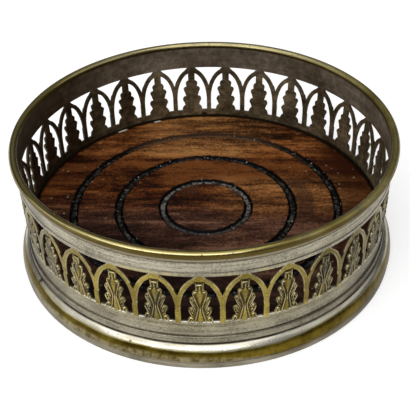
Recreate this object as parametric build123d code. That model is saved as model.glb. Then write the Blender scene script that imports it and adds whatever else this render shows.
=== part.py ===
from build123d import *
import math
import os

# Wine bottle coaster: a pierced metal gallery on a moulded foot, with a turned wood base.
# Millimetres, +Z up. The origin is the middle of the underside, on the table, and the
# front faces -Y with the middle of one leaf on it.

# Gallery wall
MOUTH_R = 62.2      # inside radius of the plain upper band
WALL_T = 0.7        # sheet thickness of the gallery
FLARE = 0.9         # how much wider the upper band is than the wall below the arcade
BAYS = 29           # arches round the gallery

# Heights, stacked up from the table
BAIZE_T = 1.0       # felt on the underside
FLANGE_T = 0.8      # metal ring that carries the wood
FOOT_H = 8.0        # table to the top of the foot moulding
BAND_H = 2.7        # flat band soldered round the wall above the foot
SILL_H = 6.05       # band to the bottom of the openings
ARCADE_H = 18.7     # height of the pierced zone
UPPER_H = 5.65      # openings to the lower edge of the rim moulding

# Fillets on the wall
LISTEL_H = 1.5      # raised strip over the openings
LEDGE_H = 1.4       # raised strip under the openings
LISTEL_PROUD = 0.25
LEDGE_PROUD = 0.15
BAND_T = 0.6        # thickness of the soldered band
BAND_EDGE = 0.3     # bevel of the soldered band's upper edge

# Rim moulding: a bead with a thin skirt below it
BEAD_R = 1.5
BEAD_REACH = 2.8    # mouth radius to the outside of the bead
BEAD_RISE = 3.1     # lower edge of the skirt to the middle of the bead
RIM_LAP = 2.7       # how far the gallery stands up inside the rim moulding
SKIRT_T = 0.5

# Arches and leaves
POST_W = 1.7        # post between two arches at the sill
ARCH_W = 1.55       # width of the arch's band at its sides
ARCH_CROWN = 1.65   # width of the arch's band at its top
CROWN_T = 2.25      # metal over the top of an arch
CROWN_HALF = 1.25   # half width where the crown joins the upper band
CROWN_SPREAD = 2.5  # half width where the crown leaves the arch's curve
SPRING_H = 4.8      # sill to where the arch starts to curve

# Half outline of a leaf from its foot up, as shares of the arch's half width and height.
# Each lobe is a slanting side and one arc: where the arc starts, its tip, and the notch where it ends.
LEAF_FOOT = (0.675, 0.0)
LEAF_LOBES = [
    ((0.672, 0.010), (0.612, 0.085), (0.462, 0.135)),
    ((0.553, 0.238), (0.612, 0.318), (0.385, 0.368)),
    ((0.500, 0.515), (0.550, 0.568), (0.350, 0.618)),
    ((0.380, 0.700), (0.378, 0.735), (0.218, 0.780)),
]

# Foot moulding, pressed from sheet and hollow
FOOT_REACH = 3.5    # outside of the wall to the outside of the round
ROUND_A = 4.65      # horizontal half axis of the round
FOOT_T = 0.8        # sheet thickness
LIP_SET = 0.3       # how far the standing lip is inside the round
LIP_H = 2.1
QUIRK_H = 0.7       # groove between the lip and the round
QUIRK_D = 0.35

# Wood base
WOOD_T = 12.2       # flange to the top of the wood
WOOD_GAP = 0.15     # clearance of the wood in the wall and in the flange
WOOD_EDGE = 0.4     # bevel round the top
FLANGE_W = 12.4     # width of the flange's ring; the spigot of the wood fills its hole
INNER_GROOVE_R = 15.2
MIDDLE_GROOVE_R = 30.8
OUTER_GROOVE_R = 46.6
GROOVE_W = 3.0
GROOVE_D = 0.9

# Countersunk screws up through the flange
SCREWS = 4
SCREW_R = 0.9
SCREW_L = 8.0       # length in the wood
TIP_L = 1.6         # pointed end
SCREW_SLOT_W = 0.6
SCREW_SLOT_D = 0.4

BAIZE_GAP = 0.4     # felt to the lip of the foot

# Worked out from the sizes above
FLANGE_TOP = BAIZE_T + FLANGE_T
BAND_TOP = FOOT_H + BAND_H
SILL_Z = BAND_TOP + SILL_H
ARCADE_TOP = SILL_Z + ARCADE_H
SKIRT_Z = ARCADE_TOP + UPPER_H
GALLERY_TOP = SKIRT_Z + RIM_LAP
BEAD_Z = SKIRT_Z + BEAD_RISE
LOW_IN = MOUTH_R - FLARE
LOW_OUT = LOW_IN + WALL_T
UP_OUT = MOUTH_R + WALL_T
BEAD_C = MOUTH_R + BEAD_REACH - BEAD_R
WOOD_TOP = FLANGE_TOP + WOOD_T
FOOT_R = LOW_OUT + FOOT_REACH
LIP_R = FOOT_R - LIP_SET
LIP_IN = LIP_R - FOOT_T
SPIGOT_R = LIP_IN - FLANGE_W
SCREW_CIRCLE = (SPIGOT_R + LOW_IN) / 2


def at(r, z):
    """A point of a section, by its radius and height."""
    return (r, 0, z)


def path(*points):
    """Straight edges through the points."""
    return [Line(a, b) for a, b in zip(points, points[1:])]


def ring(edges):
    """A closed section turned round the axis."""
    return revolve(make_face(Curve() + edges), Axis.Z)


def disc(radius, low, high):
    """A plain disc round the axis between two heights."""
    return Pos(0, 0, low) * Cylinder(radius, high - low, align=(Align.CENTER, Align.CENTER, Align.MIN))


def gallery_wall():
    """The strip before piercing: straight below the arcade, flared through it, straight above."""
    listel_top = ARCADE_TOP + LISTEL_H
    ledge_low = SILL_Z - LEDGE_H
    return ring(path(
        at(LOW_IN, FLANGE_TOP),
        at(LOW_OUT, FLANGE_TOP),
        at(LOW_OUT, ledge_low),
        at(LOW_OUT + LEDGE_PROUD, ledge_low + LEDGE_PROUD),
        at(LOW_OUT + LEDGE_PROUD, SILL_Z),
        at(LOW_OUT, SILL_Z),
        at(UP_OUT, ARCADE_TOP),
        at(UP_OUT + LISTEL_PROUD, ARCADE_TOP),
        at(UP_OUT + LISTEL_PROUD, listel_top - LISTEL_PROUD),
        at(UP_OUT, listel_top),
        at(UP_OUT, GALLERY_TOP),
        at(MOUTH_R, GALLERY_TOP),
        at(MOUTH_R, ARCADE_TOP),
        at(LOW_IN, SILL_Z),
        at(LOW_IN, FLANGE_TOP),
    ))


def arch_openings():
    """The openings of one bay: both sides of the leaf, and the spandrel on the right."""
    half_bay = math.pi * LOW_OUT / BAYS
    half_w = half_bay - POST_W / 2
    spring_z = SILL_Z + SPRING_H
    inner_rise = ARCADE_H - CROWN_T - SPRING_H
    leaf_h = ARCADE_H - CROWN_T

    def leaf(point):
        return (point[0] * half_w, SILL_Z + point[1] * leaf_h)

    # Side opening: sill, post, inside of the arch, neck, then down the lobes of the leaf.
    neck = leaf(LEAF_LOBES[-1][-1])
    turn = math.degrees(math.acos(neck[0] / half_w))
    arch = EllipticalCenterArc((0, spring_z), half_w, inner_rise, 0, arc_size=turn)
    side = [Line(leaf(LEAF_FOOT), (half_w, SILL_Z)), Line((half_w, SILL_Z), (half_w, spring_z)), arch]
    side.append(Line(arch @ 1, neck))
    below = LEAF_FOOT
    for belly, tip, notch in LEAF_LOBES:
        side.append(Line(leaf(below), leaf(belly)))
        side.append(ThreePointArc(leaf(belly), leaf(tip), leaf(notch)))
        below = notch
    right = make_face(Curve() + side)

    # Spandrel: under the upper band, between the outsides of two arches.
    outer_w = half_w + ARCH_W
    outer_rise = inner_rise + ARCH_CROWN
    end_turn = math.degrees(math.acos(CROWN_SPREAD / outer_w))
    low_turn = math.degrees(math.acos(half_bay / outer_w))
    back = EllipticalCenterArc((0, spring_z), outer_w, outer_rise, low_turn, arc_size=end_turn - low_turn)
    top = [Line(back @ 1, (CROWN_HALF, ARCADE_TOP)), Line((CROWN_HALF, ARCADE_TOP), (half_bay, ARCADE_TOP))]
    half = make_face(Curve() + [back, *top, Line((half_bay, ARCADE_TOP), back @ 0)])

    cut_from = Plane.XZ.offset(LOW_IN - 2 * WALL_T)
    depth = FLARE + 5 * WALL_T
    sides = [extrude(cut_from * f, amount=depth) for f in (right, mirror(right, Plane.YZ))]
    whole = half + mirror(half, Plane((half_bay, 0, 0), z_dir=(1, 0, 0)))
    spandrel = extrude(cut_from * Pos(-half_bay, 0) * whole, amount=depth)
    return sides + [Rot(0, 0, 180 / BAYS) * spandrel]


def gallery():
    openings = arch_openings()
    cuts = [Rot(0, 0, bay * 360 / BAYS) * o for bay in range(BAYS) for o in openings]
    return gallery_wall() - cuts


def rim_moulding():
    """The bead, with a skirt that laps the outside of the gallery and a shoulder on its top edge."""
    skirt_r = UP_OUT + SKIRT_T
    drop = math.sqrt(BEAD_R ** 2 - (BEAD_C - skirt_r) ** 2)
    shoulder = at(MOUTH_R, GALLERY_TOP)
    crest = at(BEAD_C, BEAD_Z + BEAD_R)
    skirt_top = at(skirt_r, BEAD_Z - drop)
    bend = (BEAD_C - MOUTH_R) * math.sqrt(0.5)
    rise = (BEAD_Z + BEAD_R - GALLERY_TOP) * math.sqrt(0.5)
    inner = ThreePointArc(shoulder, at(BEAD_C - bend, GALLERY_TOP + rise), crest)
    outer = ThreePointArc(crest, at(BEAD_C + BEAD_R, BEAD_Z), skirt_top)
    back = path(
        skirt_top, at(skirt_r, SKIRT_Z), at(UP_OUT, SKIRT_Z), at(UP_OUT, GALLERY_TOP), shoulder
    )
    return ring([inner, outer, *back])


def base_band():
    """Flat band on the outside of the wall, standing on the foot moulding."""
    outer = LOW_OUT + BAND_T
    return ring(path(
        at(LOW_OUT, FOOT_H),
        at(outer, FOOT_H),
        at(outer, BAND_TOP - BAND_EDGE),
        at(outer - BAND_EDGE, BAND_TOP),
        at(LOW_OUT, BAND_TOP),
        at(LOW_OUT, FOOT_H),
    ))


def foot_moulding():
    """Hollow round over a standing lip. Its top edge meets the wall under the band."""
    mid_z = LIP_H + QUIRK_H
    middle_r = FOOT_R - ROUND_A
    ledge = LOW_OUT + BAND_T
    outer_turn = math.acos((ledge - middle_r) / ROUND_A)
    inner_turn = math.acos((LOW_OUT - middle_r) / (ROUND_A - FOOT_T))
    half_h = (FOOT_H - mid_z) / math.sin(outer_turn)

    def on_round(turn, inset):
        r = middle_r + (ROUND_A - inset) * math.cos(turn)
        return at(r, mid_z + (half_h - inset) * math.sin(turn))

    outside = ThreePointArc(on_round(outer_turn, 0), on_round(outer_turn / 2, 0), on_round(0, 0))
    inside = ThreePointArc(
        on_round(0, FOOT_T), on_round(inner_turn / 2, FOOT_T), on_round(inner_turn, FOOT_T)
    )
    lip = path(
        on_round(0, 0),
        at(LIP_R - QUIRK_D, LIP_H + QUIRK_H / 2),
        at(LIP_R, LIP_H),
        at(LIP_R, 0),
        at(LIP_IN, 0),
        at(LIP_IN, LIP_H),
        on_round(0, FOOT_T),
    )
    top = path(
        on_round(inner_turn, FOOT_T), at(LOW_OUT, FOOT_H), on_round(outer_turn, 0)
    )
    return ring([outside, *lip, inside, *top])


def screw_places():
    """Where the screws stand, on a circle under the rebate of the wood."""
    return PolarLocations(SCREW_CIRCLE, SCREWS, start_angle=45)


def screw():
    """One countersunk screw, head down, with the underside of its head on the flange's underside."""
    head_r = SCREW_R + FLANGE_T
    end = FLANGE_TOP + SCREW_L
    body = ring(path(
        at(0, BAIZE_T),
        at(head_r, BAIZE_T),
        at(SCREW_R, FLANGE_TOP),
        at(SCREW_R, end - TIP_L),
        at(0, end),
        at(0, BAIZE_T),
    ))
    slot = Pos(0, 0, BAIZE_T) * Box(3 * head_r, SCREW_SLOT_W, 2 * SCREW_SLOT_D)
    return body, slot


def base_flange():
    plate = disc(LIP_IN, BAIZE_T, FLANGE_TOP) - disc(SPIGOT_R, BAIZE_T, FLANGE_TOP)
    body, slot = screw()
    return plate - [place * body for place in screw_places()]


def flange_screws():
    body, slot = screw()
    return Compound(children=[place * (body - slot) for place in screw_places()])


def wood_base():
    """Turned disc: a spigot in the flange, a bevelled top edge and three hollow rings."""
    edge_r = LOW_IN - WOOD_GAP
    spigot_r = SPIGOT_R - WOOD_GAP
    top = at(0, WOOD_TOP)
    edges = []
    for middle in (INNER_GROOVE_R, MIDDLE_GROOVE_R, OUTER_GROOVE_R):
        near = at(middle - GROOVE_W / 2, WOOD_TOP)
        far = at(middle + GROOVE_W / 2, WOOD_TOP)
        edges.append(Line(top, near))
        edges.append(ThreePointArc(near, at(middle, WOOD_TOP - GROOVE_D), far))
        top = far
    edges += path(
        top,
        at(edge_r - WOOD_EDGE, WOOD_TOP),
        at(edge_r, WOOD_TOP - WOOD_EDGE),
        at(edge_r, FLANGE_TOP),
        at(spigot_r, FLANGE_TOP),
        at(spigot_r, BAIZE_T),
        at(0, BAIZE_T),
        at(0, WOOD_TOP),
    )
    body, slot = screw()
    return ring(edges) - [place * body for place in screw_places()]


def baize_pad():
    return disc(LIP_IN - BAIZE_GAP, 0, BAIZE_T)


os.makedirs("parts", exist_ok=True)
NODES = {
    "gallery": gallery,
    "rim_moulding": rim_moulding,
    "base_band": base_band,
    "foot_moulding": foot_moulding,
    "base_flange": base_flange,
    "wood_base": wood_base,
    "flange_screws": flange_screws,
    "baize_pad": baize_pad,
}
for name, make in NODES.items():
    export_step(make(), f"parts/{name}.step")
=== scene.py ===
import math
from functools import partialmethod

import bpy
import numpy as np
from mathutils import Matrix, Vector
from mathutils.geometry import delaunay_2d_cdt


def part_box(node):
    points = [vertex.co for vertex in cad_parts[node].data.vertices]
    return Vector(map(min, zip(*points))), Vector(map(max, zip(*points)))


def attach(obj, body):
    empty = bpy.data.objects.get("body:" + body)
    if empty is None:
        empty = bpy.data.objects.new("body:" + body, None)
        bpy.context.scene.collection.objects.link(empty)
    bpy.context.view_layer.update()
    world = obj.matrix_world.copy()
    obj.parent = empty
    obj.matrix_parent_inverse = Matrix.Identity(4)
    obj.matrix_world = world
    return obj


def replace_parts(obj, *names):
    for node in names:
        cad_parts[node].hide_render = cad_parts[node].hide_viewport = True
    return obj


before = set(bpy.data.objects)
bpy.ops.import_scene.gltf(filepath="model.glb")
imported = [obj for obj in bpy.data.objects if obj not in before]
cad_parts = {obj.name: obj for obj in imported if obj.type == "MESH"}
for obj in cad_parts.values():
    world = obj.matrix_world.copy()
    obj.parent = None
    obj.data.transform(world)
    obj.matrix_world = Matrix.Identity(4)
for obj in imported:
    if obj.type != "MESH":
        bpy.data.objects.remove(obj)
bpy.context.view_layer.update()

scene = bpy.context.scene
BODY = "root"
MM = 0.001

# Sizes in millimetres: those of whole nodes from the frame, the others as in the part's source


def span(node):
    """Outside radius, lowest and highest point of a round node, in millimetres."""
    low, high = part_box(node)
    return high.y / MM, low.z / MM, high.z / MM


BEAD_OUT, SKIRT_Z, RIM_TOP = span("rim_moulding")
FOOT_R, _, FOOT_H = span("foot_moulding")
BAND_OUT, _, BAND_TOP = span("base_band")
_, GALLERY_LOW, GALLERY_TOP = span("gallery")
WOOD_R, WOOD_LOW, WOOD_TOP = span("wood_base")
BAIZE_R, _, BAIZE_TOP = span("baize_pad")
LIP_IN = span("base_flange")[0]

MOUTH_R = 62.2  # inside radius of the plain upper band
WALL_T = 0.7
FLARE = 0.9  # how much wider the upper band is than the wall below the arcade
BAYS = 29
ARCADE_H = 18.7
SILL_Z = 16.75  # bottom of the openings
LISTEL_H = 1.5  # raised strip over the openings
LEDGE_H = 1.4  # raised strip under the openings
LISTEL_PROUD = 0.25
LEDGE_PROUD = 0.15
BEAD_R = 1.5
SKIRT_T = 0.5
BAND_EDGE = 0.3
POST_W = 1.7  # post between two arches at the sill
ARCH_W = 1.55  # width of the arch's band at its sides, then at its top
ARCH_CROWN = 1.65
CROWN_T = 2.25  # metal over the top of an arch
CROWN_HALF = 1.25  # half width where the crown joins the upper band
CROWN_SPREAD = 2.5  # half width where the crown leaves the arch's curve
SPRING_H = 4.8  # sill to where the arch starts to curve
# Points of a leaf's right edge, in shares of its half width and height: belly, tip and notch
LEAF_FOOT = (0.675, 0.0)
LEAF_LOBES = [
    ((0.672, 0.01), (0.612, 0.085), (0.462, 0.135)),
    ((0.553, 0.238), (0.612, 0.318), (0.385, 0.368)),
    ((0.5, 0.515), (0.55, 0.568), (0.35, 0.618)),
    ((0.38, 0.7), (0.378, 0.735), (0.218, 0.78)),
]
ROUND_A = 4.65  # horizontal half axis of the foot's round
LIP_SET = 0.3  # how far the standing lip is inside the round
LIP_R = FOOT_R - LIP_SET
LIP_H = 2.1
QUIRK_H = 0.7  # groove between the lip and the round
QUIRK_D = 0.35
FOOT_T = 0.8
WOOD_EDGE = 0.4
GROOVES = (15.2, 30.8, 46.6)  # radii of the rings
GROOVE_W = 3.0
GROOVE_D = 0.9

LOW_IN = MOUTH_R - FLARE
LOW_OUT = LOW_IN + WALL_T
UP_OUT = MOUTH_R + WALL_T
ARCADE_TOP = SILL_Z + ARCADE_H
BEAD_C = BEAD_OUT - BEAD_R
BEAD_Z = RIM_TOP - BEAD_R

# Camera, from a fit of the rim, the foot and the arcade
IMAGE_PX = 410
FOCAL_PX = 985.0
CAMERA_DISTANCE = 348.5
CAMERA_ELEVATION = math.radians(36.73)
CAMERA_ROLL = math.radians(-1.51)
CAMERA_TURN = math.radians(2.27)
CAMERA_AIM = (-0.22, 0.0, 14.5)
SENSOR_MM = 36.0


# Meshes

# Edges sharper than these angles stay sharp, on turned pieces and on the pierced strip
SHARP_TURNED = 35.0
SHARP_CUT = 50.0


def make_object(name, points, faces, materials, sharp, look=None, face_slots=None):
    """A smooth mesh object from points in millimetres, with values of its look at each point."""
    mesh = bpy.data.meshes.new(name)
    mesh.from_pydata((np.asarray(points) * MM).tolist(), [], faces)
    for material in materials:
        mesh.materials.append(material)
    if face_slots is not None:
        mesh.polygons.foreach_set("material_index", np.asarray(face_slots, dtype=np.int32))
    for key, values in (look or {}).items():
        layer = mesh.attributes.new(key, "FLOAT", "POINT")
        layer.data.foreach_set("value", np.asarray(values, dtype=np.float32))
    mesh.update()
    mesh.validate()
    mesh.polygons.foreach_set("use_smooth", np.ones(len(mesh.polygons), dtype=bool))
    mesh.set_sharp_from_angle(angle=math.radians(sharp))
    obj = bpy.data.objects.new(name, mesh)
    scene.collection.objects.link(obj)
    return obj


def arc(start, via, end, steps):
    """Points along the circle through three points, with both ends."""
    a, b, c = (complex(*p) for p in (start, via, end))
    w = (c - a) / (b - a)
    middle = a + (b - a) * (w - abs(w) ** 2) / (2j * w.imag)
    sweep = np.angle((b - middle) / (a - middle)) + np.angle((c - middle) / (b - middle))
    points = middle + (a - middle) * np.exp(1j * np.linspace(0, sweep, steps + 1))
    return [(p.real, p.imag) for p in points]


def ellipse(middle, half_w, half_h, start, end, steps):
    """Points along an ellipse between two turns in radians, with both ends."""
    turns = np.linspace(start, end, steps + 1)
    return [(middle[0] + half_w * math.cos(t), middle[1] + half_h * math.sin(t)) for t in turns]


def soften(profile, size, corners):
    """A profile with the named corners cut back by a small bevel."""
    out = []
    for i, p in enumerate(profile):
        if i not in corners:
            out.append(p)
            continue
        p = np.array(p)
        for other in (profile[i - 1], profile[(i + 1) % len(profile)]):
            step = np.array(other) - p
            length = np.linalg.norm(step)
            out.append(tuple(p + step / length * min(size, length / 3)))
    return out


def bent(radius, turn, height):
    """Points at a radius, a turn round the axis and a height."""
    return np.stack([radius * np.cos(turn), radius * np.sin(turn), height], -1)


def lathe(profile, segments, lift=(), closed=True):
    """Points and faces of a profile of (radius, height) turned round the axis.

    Faces of a closed profile look outward. The waves in lift, as (count, size, phase), raise and
    lower it on its way round.
    """
    turn = np.arange(segments) * 2 * math.pi / segments
    rise = np.zeros(segments)
    for count, size, phase in lift:
        rise += size * np.sin(count * turn + phase)
    r, z = np.array(profile, dtype=float).T
    points = bent(r, turn[:, None], z + rise[:, None]).reshape(-1, 3)
    n = len(profile)
    anticlockwise = closed and np.dot(r, np.roll(z, -1) - np.roll(z, 1)) > 0
    faces = []
    for i in range(segments):
        here, there = i * n, (i + 1) % segments * n
        for j in range(n if closed else n - 1):
            k = (j + 1) % n
            face = (here + k, there + k, there + j, here + j)
            faces.append(face[::-1] if anticlockwise else face)
    return points, faces


# Shader graphs

# Sockets of the Mix node that carry its share and its colours
MIX_SHARE, MIX_A, MIX_B, MIX_OUT = 0, 6, 7, 2


class Graph:
    """A material's nodes, built by short calls that return output sockets."""

    def __init__(self, name):
        self.material = bpy.data.materials.new(name)
        self.material.use_nodes = True
        self.tree = self.material.node_tree
        self.tree.nodes.clear()
        self.place = self.node("TexCoord").outputs["Object"]
        axes = self.node("SeparateXYZ", Vector=self.place)
        self.x, self.y, self.z = axes.outputs

    def node(self, kind, settings=None, **inputs):
        made = self.tree.nodes.new("ShaderNode" + kind)
        for key, value in (settings or {}).items():
            setattr(made, key, value)
        for key, value in inputs.items():
            self.put(made.inputs[key.replace("_", " ")], value)
        return made

    def put(self, socket, value):
        """Links a socket to another, or sets its number, vector or colour."""
        if isinstance(value, bpy.types.NodeSocket):
            self.tree.links.new(value, socket)
        elif socket.type == "RGBA":
            socket.default_value = (*value, 1.0)
        else:
            socket.default_value = value

    def compute(self, operation, a, b=0.0):
        made = self.node("Math", {"operation": operation})
        self.put(made.inputs[0], a)
        self.put(made.inputs[1], b)
        return made.outputs[0]

    def fold(self, operation, *values):
        """One operation on several values, from left to right."""
        first, *others = values
        for value in others:
            first = self.compute(operation, first, value)
        return first

    add = partialmethod(fold, "ADD")
    times = partialmethod(fold, "MULTIPLY")
    most = partialmethod(fold, "MAXIMUM")
    least = partialmethod(fold, "MINIMUM")
    less = partialmethod(compute, "SUBTRACT")
    absolute = partialmethod(compute, "ABSOLUTE")

    def blend(self, *parts):
        """The sum of several values, each times its weight."""
        return self.add(*(self.times(value, weight) for value, weight in parts))

    def step(self, value, low, high, to_low=0.0, to_high=1.0):
        """A smooth ramp of a value between two of its levels."""
        made = self.node(
            "MapRange", {"interpolation_type": "SMOOTHSTEP"},
            Value=value, From_Min=low, From_Max=high, To_Min=to_low, To_Max=to_high
        )
        return made.outputs["Result"]

    def zone(self, length, low, high, to_low=0.0, to_high=1.0):
        """The same ramp between two lengths in millimetres."""
        return self.step(length, low * MM, high * MM, to_low, to_high)

    def fade(self, length, low, high, much=1.0):
        """The same, falling to 0."""
        return self.zone(length, low, high, much, 0.0)

    def near(self, value, level, reach):
        """1 where a value is at a level, falling to 0 at the reach."""
        off = self.absolute(self.less(value, level))
        return self.step(off, reach * 0.4, reach, 1.0, 0.0)

    def line(self, length, level, reach):
        """The same at a length in millimetres."""
        return self.near(length, level * MM, reach * MM)

    def around(self, middle, reach):
        """1 at an azimuth in degrees, falling to 0 at the reach on both sides."""
        azimuth = self.compute("ARCTAN2", self.y, self.x)
        return self.near(azimuth, math.radians(middle), math.radians(reach))

    def radius(self):
        """The distance from the axis."""
        flat = self.node("CombineXYZ", X=self.x, Y=self.y).outputs[0]
        return self.node("VectorMath", {"operation": "LENGTH"}, Vector=flat).outputs["Value"]

    def noise(self, scale, detail, rough, twist=0.0):
        """A noise at one scale, or at one for each axis where it runs one way."""
        vector = self.place
        if isinstance(scale, tuple):
            vector = self.node("Mapping", Vector=vector, Scale=scale).outputs["Vector"]
            scale = 1.0
        made = self.node(
            "TexNoise", Vector=vector, Scale=scale, Detail=detail, Roughness=rough, Distortion=twist
        )
        return made.outputs["Fac"]

    def swing(self, noise, width):
        """A noise made to swing about 0, over a width."""
        return self.times(self.less(noise, 0.5), width)

    def dots(self, scale, size, share):
        """Small round specks in a share of the cells of a random lattice, from 0 to 1."""
        made = self.node("TexVoronoi", Vector=self.place, Scale=scale)
        pick = self.node("SeparateColor", Color=made.outputs["Color"]).outputs[0]
        inside = self.step(made.outputs["Distance"], size * 0.6, size, 1.0, 0.0)
        return self.times(inside, self.compute("LESS_THAN", pick, share))

    def attribute(self, name):
        return self.node("Attribute", {"attribute_name": name}).outputs["Fac"]

    def mix(self, share, a, b, blend="MIX"):
        made = self.node("Mix", {"data_type": "RGBA", "blend_type": blend})
        self.put(made.inputs[MIX_SHARE], share)
        self.put(made.inputs[MIX_A], a)
        self.put(made.inputs[MIX_B], b)
        return made.outputs[MIX_OUT]

    def paint(self, colour, *layers, blend="MIX"):
        """A colour under layers of (share, colour), the first one lowest."""
        for share, layer in layers:
            colour = self.mix(share, colour, layer, blend)
        return colour

    def tint(self, colour, *layers):
        """A colour multiplied by layers of (share, colour)."""
        return self.paint(colour, *layers, blend="MULTIPLY")

    def ramp(self, value, stops):
        """A colour band through (value, colour) stops."""
        made = self.node("ValToRGB", Fac=value)
        band = made.color_ramp.elements
        while len(band) < len(stops):
            band.new(0.5)
        for element, (place, colour) in zip(band, stops):
            element.position = place
            element.color = (*colour, 1.0)
        return made.outputs["Color"]

    def bump(self, height, depth, strength):
        """A normal from a height, over a depth in millimetres."""
        made = self.node("Bump", Height=height, Strength=strength, Distance=depth * MM)
        return made.outputs["Normal"]

    def surface(self, colour, roughness, metallic, normal, **others):
        shader = self.node(
            "BsdfPrincipled", Base_Color=colour, Roughness=roughness, Metallic=metallic,
            Normal=normal, **others
        )
        self.node("OutputMaterial", Surface=shader.outputs[0])
        return self.material


# Metals. Colours are linear, lengths in millimetres, x to the right, y to the back, z up.

# Dark colour of dirt, also laid over painted shade
DIRT_AND_SHADE = (0.026, 0.0175, 0.008)
SILVER = (0.395, 0.362, 0.272)
SILVER_DULL = (0.18, 0.16, 0.115)
# Depth and strength of the bump that fine scratches make
SCRATCHED = (0.06, 0.35)


def scratches(g):
    """Fine marks that run round the metal, from 0 to 1."""
    fine = g.noise((60, 60, 2600), 3.0, 0.6)
    long = g.noise((18, 18, 900), 2.0, 0.5)
    return g.blend((fine, 0.6), (long, 0.4))


BRASS = ((0.17, 0.126, 0.022), (0.42, 0.328, 0.074))
BRASS_BLOT = (0.15, 0.1, 0.026)
RUBBED_HIGHLIGHT = (0.58, 0.53, 0.36)
SILL_HIGHLIGHT = (0.86, 0.84, 0.76)
LEDGE_TINT = (0.78, 0.74, 0.55)
LEFT_LIGHT_TINT = (1.22, 1.22, 1.24)
BAND_TINT = (0.74, 0.73, 0.72)
SIDE_SHADE_TINT = (0.7, 0.68, 0.64)
RIGHT_SHADE_TINT = (0.66, 0.65, 0.62)
# Heights of dark lines along edges and joints, and how much
CREASES = (
    (ARCADE_TOP + LISTEL_H, 0.45), (SILL_Z - LEDGE_H, 0.3), (BAND_TOP, 0.35), (SKIRT_Z - 0.5, 0.7),
)


def worn_plate():
    """Silver plate on brass: bright on the bands, brass where it rubs, dark where dirt stays, with painted
    light at the left of the front, painted shade at the sides and over the foot, and painted highlights on
    crests and along the sill.
    """
    g = Graph("worn_plate")
    relief = g.attribute("relief")
    brassy = g.attribute("brassy")
    brush = scratches(g)
    patch = g.noise(95, 6.0, 0.62)
    blots = g.noise(380, 4.0, 0.65)
    spots = g.noise(700, 3.0, 0.6)
    grain = g.noise(1700, 2.0, 0.6)
    aside = g.absolute(g.x)
    arcade = g.times(g.zone(g.z, SILL_Z, SILL_Z + 1), g.fade(g.z, ARCADE_TOP - 0.3, ARCADE_TOP))

    # Plate, with the ledge warmer, painted light at the left of the front and the lower band darker
    ledge = g.times(g.zone(g.z, BAND_TOP, SILL_Z - 0.5), g.fade(g.z, SILL_Z, SILL_Z + 1), 0.65)
    clouds = g.blend((brush, 0.4), (patch, 0.32), (grain, 0.28))
    silver = g.tint(
        g.mix(g.step(clouds, 0.42, 0.58), SILVER_DULL, SILVER),
        (ledge, LEDGE_TINT),
        (g.line(g.x, -28, 27), LEFT_LIGHT_TINT),
        (g.fade(g.z, BAND_TOP - 0.2, BAND_TOP + 0.2), BAND_TINT),
    )

    # Brass where the plate is gone, which is less at both sides
    brass = g.mix(g.step(g.blend((patch, 0.7), (grain, 0.3)), 0.38, 0.62), *BRASS)
    brass = g.mix(g.step(blots, 0.5, 0.66, 0.0, 0.55), brass, BRASS_BLOT)
    kept = g.add(g.fade(g.x, -52, -20, -0.32), g.zone(g.x, 22, 60, 0.0, -0.34))
    bare = g.step(g.add(brassy, kept, g.blend((patch, 0.9), (brush, 0.3))), 0.95, 1.25)
    # Painted shade: the arcade darker towards both sides and the right, and everything darker far to the
    # sides
    metal = g.tint(
        g.mix(bare, silver, brass),
        (g.most(g.times(arcade, g.zone(aside, 18, 46)), g.zone(aside, 50, 60)), SIDE_SHADE_TINT),
        (g.times(arcade, g.zone(g.x, -6, 34, 0.0, 0.75)), RIGHT_SHADE_TINT),
    )

    # Crests of the carving rubbed bright, partly a painted highlight, and a painted highlight in dashes
    # along the sill's edge
    sill = g.times(g.line(g.z, SILL_Z, 0.4), g.step(g.less(patch, brassy), 0.05, 0.3))
    sill = g.times(sill, g.step(blots, 0.4, 0.56, 0.15, 1.0), g.step(relief, 0.86, 0.89))
    metal = g.paint(
        metal, (g.times(g.step(relief, 0.7, 1.0), bare, 0.55), RUBBED_HIGHLIGHT), (sill, SILL_HIGHLIGHT)
    )

    # Dirt in the hollows, more towards the sides, in pits and scratches, dark lines along the edges, dirt
    # and painted shade in the joint over the foot, and painted shade over the foot at both sides
    clean = g.add(relief, g.zone(aside, 22, 50, 0.0, -0.12), g.swing(spots, 0.35))
    hollows = g.step(clean, 0.08, 0.58, 0.92, 0.0)
    pits = g.step(spots, 0.64, 0.73, 0.0, 0.6)
    marks = g.step(g.noise((120, 120, 3800), 2.0, 0.5), 0.63, 0.72, 0.0, 0.45)
    edges = g.most(*(g.times(g.line(g.z, level, 0.22), much) for level, much in CREASES))
    edges = g.times(edges, g.step(g.add(patch, g.times(spots, 0.4)), 0.55, 0.8, 0.2, 1.0))
    joint = g.times(g.line(g.z, FOOT_H + 0.1, 0.55), g.step(patch, 0.36, 0.56, 0.65, 1.0))
    shade = g.add(g.fade(g.x, -48, -32, 0.35), g.zone(g.x, 42, 50, 0.0, 0.6))
    shade = g.times(g.line(g.z, FOOT_H + 0.3, 2.4), shade)
    grime_and_shade = g.most(hollows, pits, marks, edges, joint, shade)
    return g.surface(
        g.mix(grime_and_shade, metal, DIRT_AND_SHADE),
        g.add(0.2, g.blend((grime_and_shade, 0.4), (brush, 0.22))),
        g.step(grime_and_shade, 0.3, 0.9, 1.0, 0.0),
        g.bump(g.blend((brush, 1.0), (spots, 0.8), (grain, 0.5)), 0.06, 0.4),
        Specular_IOR_Level=g.step(grime_and_shade, 0.3, 0.9, 0.5, 0.12),
    )


EDGE_FRONT = ((0.36, 0.28, 0.075), (0.6, 0.49, 0.17))
EDGE_SIDE_SHADE = ((0.066, 0.05, 0.02), (0.165, 0.13, 0.062))


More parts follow.
